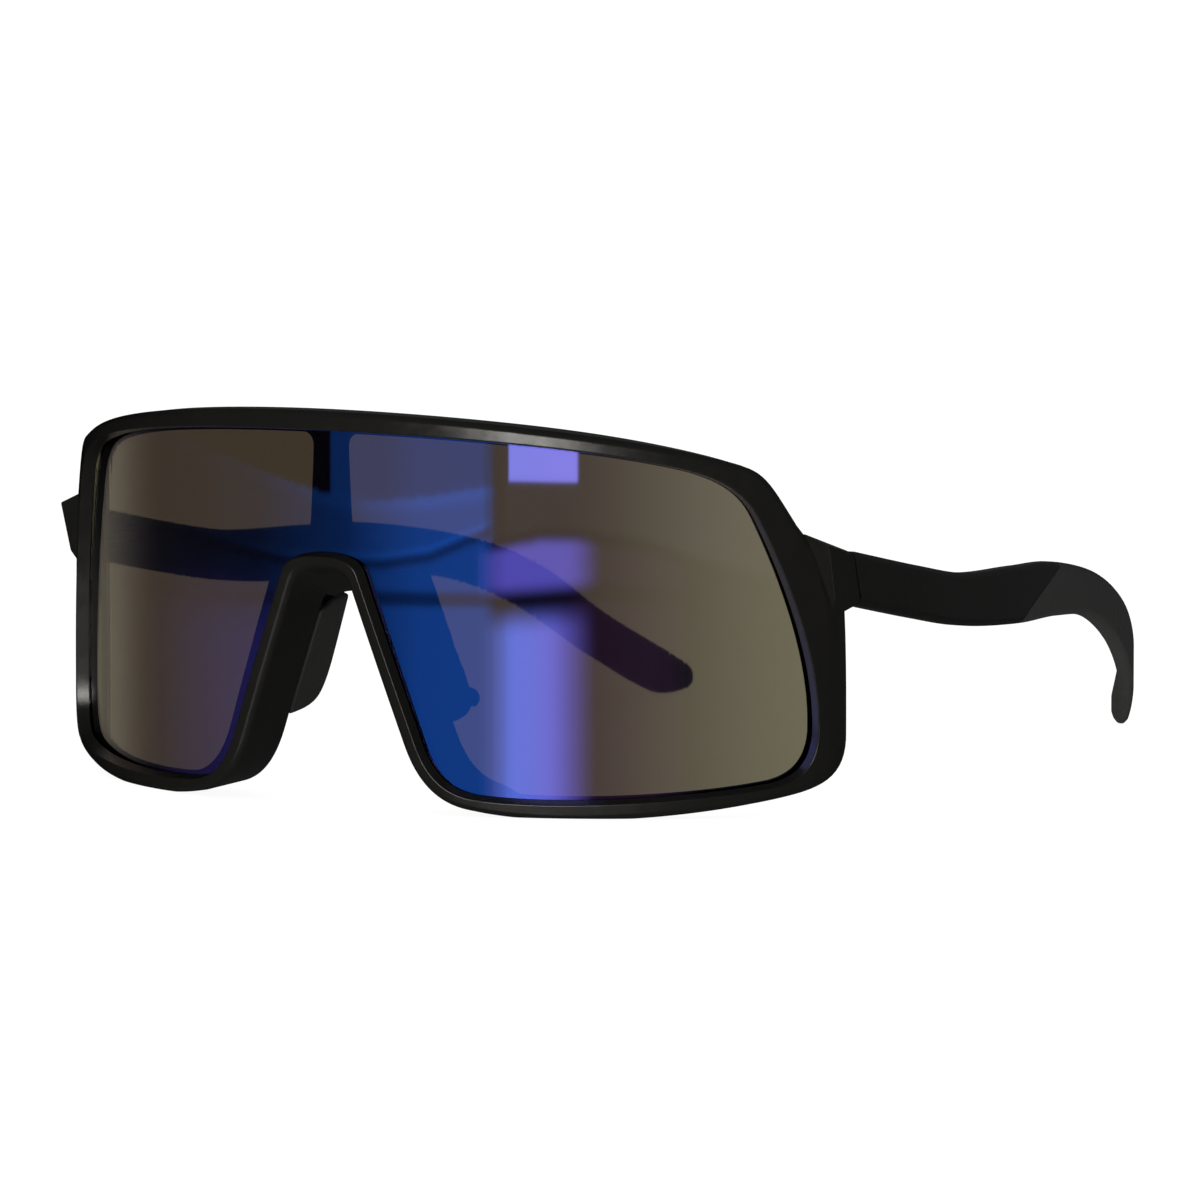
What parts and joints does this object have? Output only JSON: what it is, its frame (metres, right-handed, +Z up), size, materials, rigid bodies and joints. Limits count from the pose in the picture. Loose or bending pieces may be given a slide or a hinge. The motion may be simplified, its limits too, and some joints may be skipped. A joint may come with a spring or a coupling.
{
  "type": "wraparound sport sunglasses",
  "caption": "Wraparound sunglasses with a full rim, a wide curved shield lens, soft nose pads and folding temples with rubber ear ends.",
  "frame": {"origin": "centre of the bounding box on the surface that the open glasses stand on", "axes": "+X to the wearer's left, +Y back towards the ears, +Z up"},
  "size_m": [0.1484, 0.1784, 0.0624],
  "materials": {
    "frame_plastic": "near-black moulded plastic with a fine satin grain and slightly polished edges",
    "lens": "polished smoke-brown tinted polycarbonate with a blue-violet mirror coat",
    "soft_rubber": "dull black thermoplastic rubber, a little lighter and more matte than the frame",
    "hinge_metal": "small pressed steel hinge leaves and screws, lightly brushed"
  },
  "bodies": {
    "front": {"front_frame": "frame_plastic", "shield_lens": "lens", "nose_pad_left": "soft_rubber", "nose_pad_right": "soft_rubber", "frame_hinge_left": "hinge_metal", "frame_hinge_right": "hinge_metal", "hinge_screw_left": "hinge_metal", "hinge_screw_right": "hinge_metal"},
    "left_temple": {"temple_left": "frame_plastic", "ear_sock_left": "soft_rubber", "temple_hinge_left": "hinge_metal"},
    "right_temple": {"temple_right": "frame_plastic", "ear_sock_right": "soft_rubber", "temple_hinge_right": "hinge_metal"}
  },
  "joints": [
    {"name": "left_fold", "type": "hinge", "parent": "front", "child": "left_temple", "pos_m": [0.068, -0.0488, 0.0368], "axis": [0, 0, 1], "range_deg": [0, 78]},
    {"name": "right_fold", "type": "hinge", "parent": "front", "child": "right_temple", "pos_m": [-0.068, -0.0488, 0.0368], "axis": [0, 0, -1], "range_deg": [0, 64]}
  ]
}
